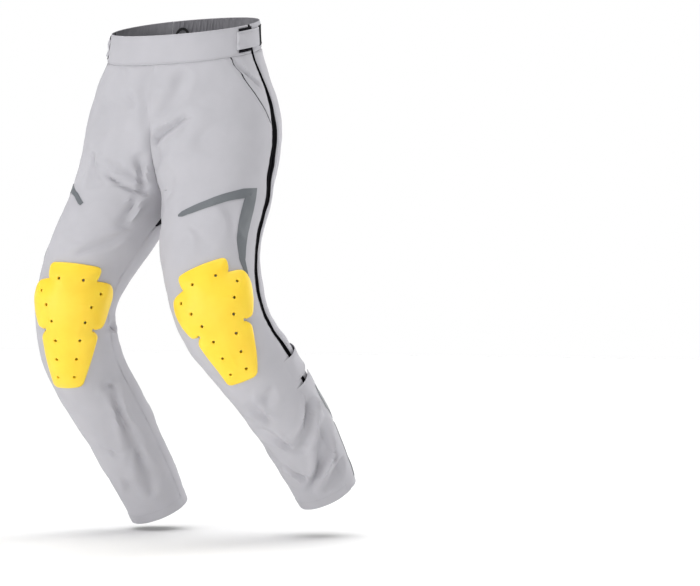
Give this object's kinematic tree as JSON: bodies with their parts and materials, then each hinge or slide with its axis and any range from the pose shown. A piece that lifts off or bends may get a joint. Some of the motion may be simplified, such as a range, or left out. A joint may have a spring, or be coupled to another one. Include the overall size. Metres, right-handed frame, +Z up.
{
  "type": "motorcycle trousers",
  "caption": "Light grey textile motorcycle trousers in their worn form, hollow, with yellow knee armour, black loop tape, hook tabs, side zips and calf storm flaps.",
  "frame": {"origin": "middle of the waistband, halfway up it, where the wearer's waist holds the trousers", "axes": "+Z up out of the waist, -Y to the wearer's front, +X to the wearer's left"},
  "size_m": [0.5297, 0.4067, 0.9707],
  "materials": {
    "shell": "matte woven polyester",
    "gusset": "matte stretch fabric",
    "zip": "woven zip tape with a nylon coil",
    "pocket_lining": "matte knitted lining",
    "loop_tape": "brushed nylon loop",
    "hook_tape": "nylon hook",
    "reflective_film": "retroreflective film, dark grey in plain light",
    "armour": "satin closed-cell foam rubber",
    "hanger_tape": "narrow woven tape"
  },
  "bodies": {
    "root": {"waistband_front": "shell", "waistband_back_left": "shell", "waistband_back_right": "shell", "waistband_elastic": "shell", "front_left": "shell", "front_right": "shell", "back_left": "shell", "back_right": "shell", "crotch_gusset_left": "gusset", "crotch_gusset_right": "gusset", "side_zip_left": "zip", "side_zip_right": "zip", "pocket_facing_left": "shell", "pocket_facing_right": "shell", "pocket_bag_left": "pocket_lining", "pocket_bag_right": "pocket_lining", "waist_loop_patch_left": "loop_tape", "waist_loop_patch_right": "loop_tape", "waist_anchor_left": "loop_tape", "waist_anchor_right": "loop_tape", "waist_tab_left": "shell", "waist_tab_right": "shell", "knee_loop_patch_left": "loop_tape", "knee_loop_patch_right": "loop_tape", "knee_tab_left": "shell", "knee_tab_right": "shell", "flap_hook_strip_left": "hook_tape", "flap_hook_strip_right": "hook_tape", "hem_loop_patch_left": "loop_tape", "hem_loop_patch_right": "loop_tape", "storm_flap_left": "shell", "storm_flap_right": "shell", "thigh_reflective_left": "reflective_film", "thigh_reflective_right": "reflective_film", "shin_leaf_left": "reflective_film", "shin_leaf_right": "reflective_film", "shin_reflective_left": "reflective_film", "shin_reflective_right": "reflective_film", "knee_armour_left": "armour", "knee_armour_right": "armour", "hanger_loop": "hanger_tape"}
  },
  "joints": []
}
